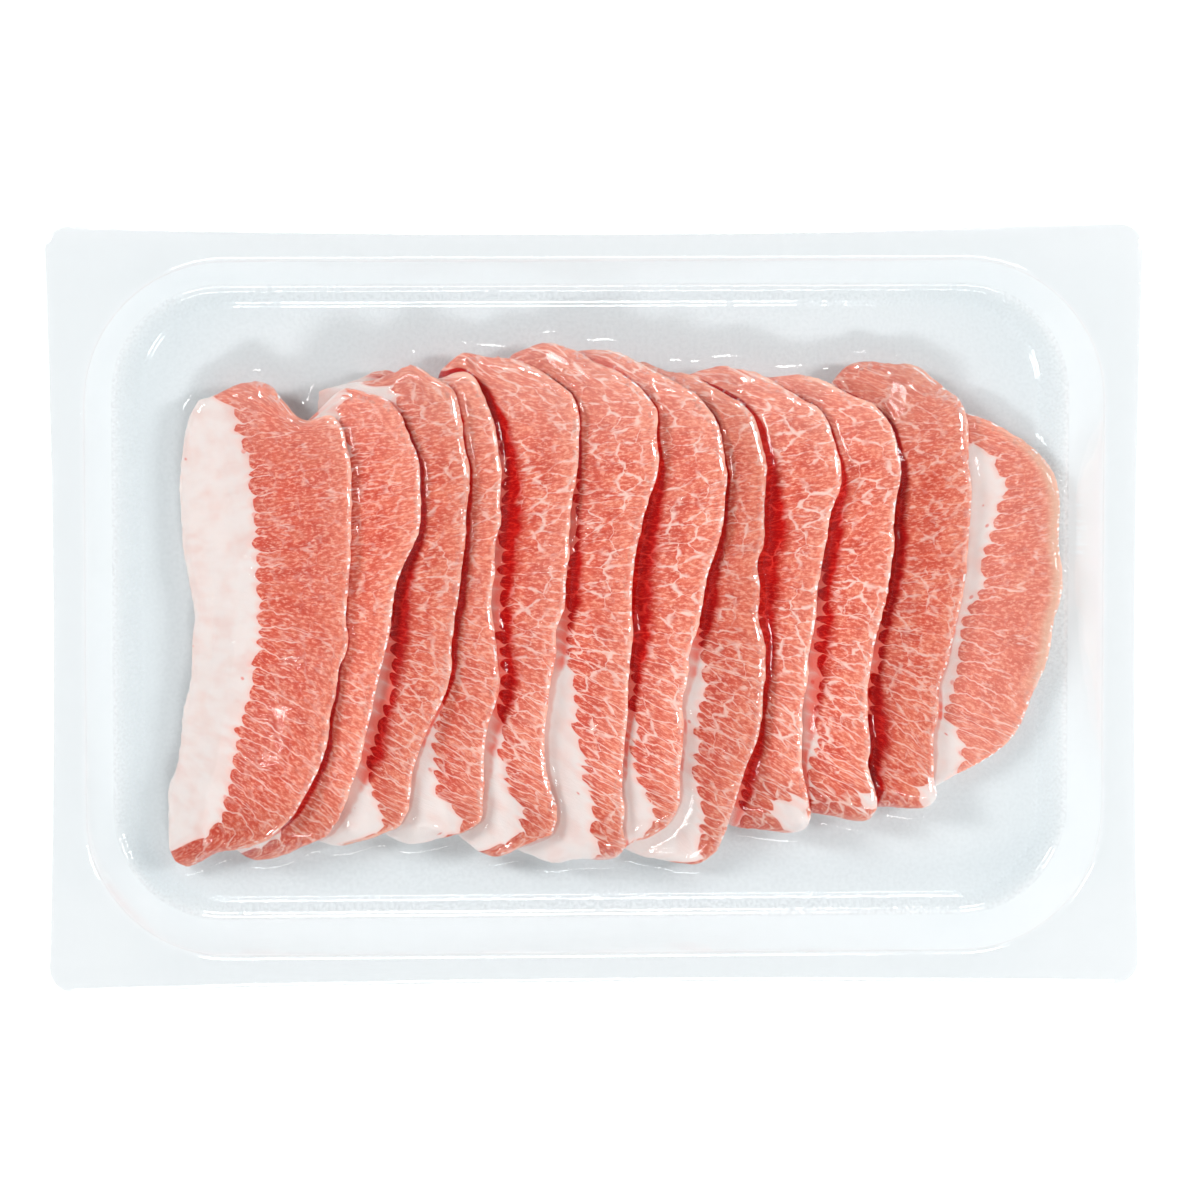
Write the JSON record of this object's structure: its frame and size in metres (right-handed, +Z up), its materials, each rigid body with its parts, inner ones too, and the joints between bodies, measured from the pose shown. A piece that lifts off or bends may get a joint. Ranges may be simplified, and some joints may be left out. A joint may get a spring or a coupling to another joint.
{
  "type": "pack of sliced pork jowl",
  "caption": "Clear rigid tray with a wide flange, holding shingled slices of raw pork jowl with pale fat bands and marbled lean under a tight clear skin film.",
  "frame": {"origin": "under the middle of the pack, on the surface that it stands on", "axes": "+X along the pack's length, towards the end with the lowest slice, +Y across its width, +Z up out of the tray"},
  "size_m": [0.2594, 0.1816, 0.0206],
  "materials": {
    "clear_tray": "clear thermoformed plastic sheet, gloss, floor finely frosted",
    "raw_pork": "moist raw pork, pink marbled lean and creamy white fat",
    "clear_film": "clear vacuum skin film, gloss"
  },
  "bodies": {
    "root": {"tray": "clear_tray", "slice_01": "raw_pork", "slice_02": "raw_pork", "slice_03": "raw_pork", "slice_04": "raw_pork", "slice_05": "raw_pork", "slice_06": "raw_pork", "slice_07": "raw_pork", "slice_08": "raw_pork", "slice_09": "raw_pork", "slice_10": "raw_pork", "slice_11": "raw_pork", "slice_12": "raw_pork", "skin_film": "clear_film"}
  },
  "joints": []
}
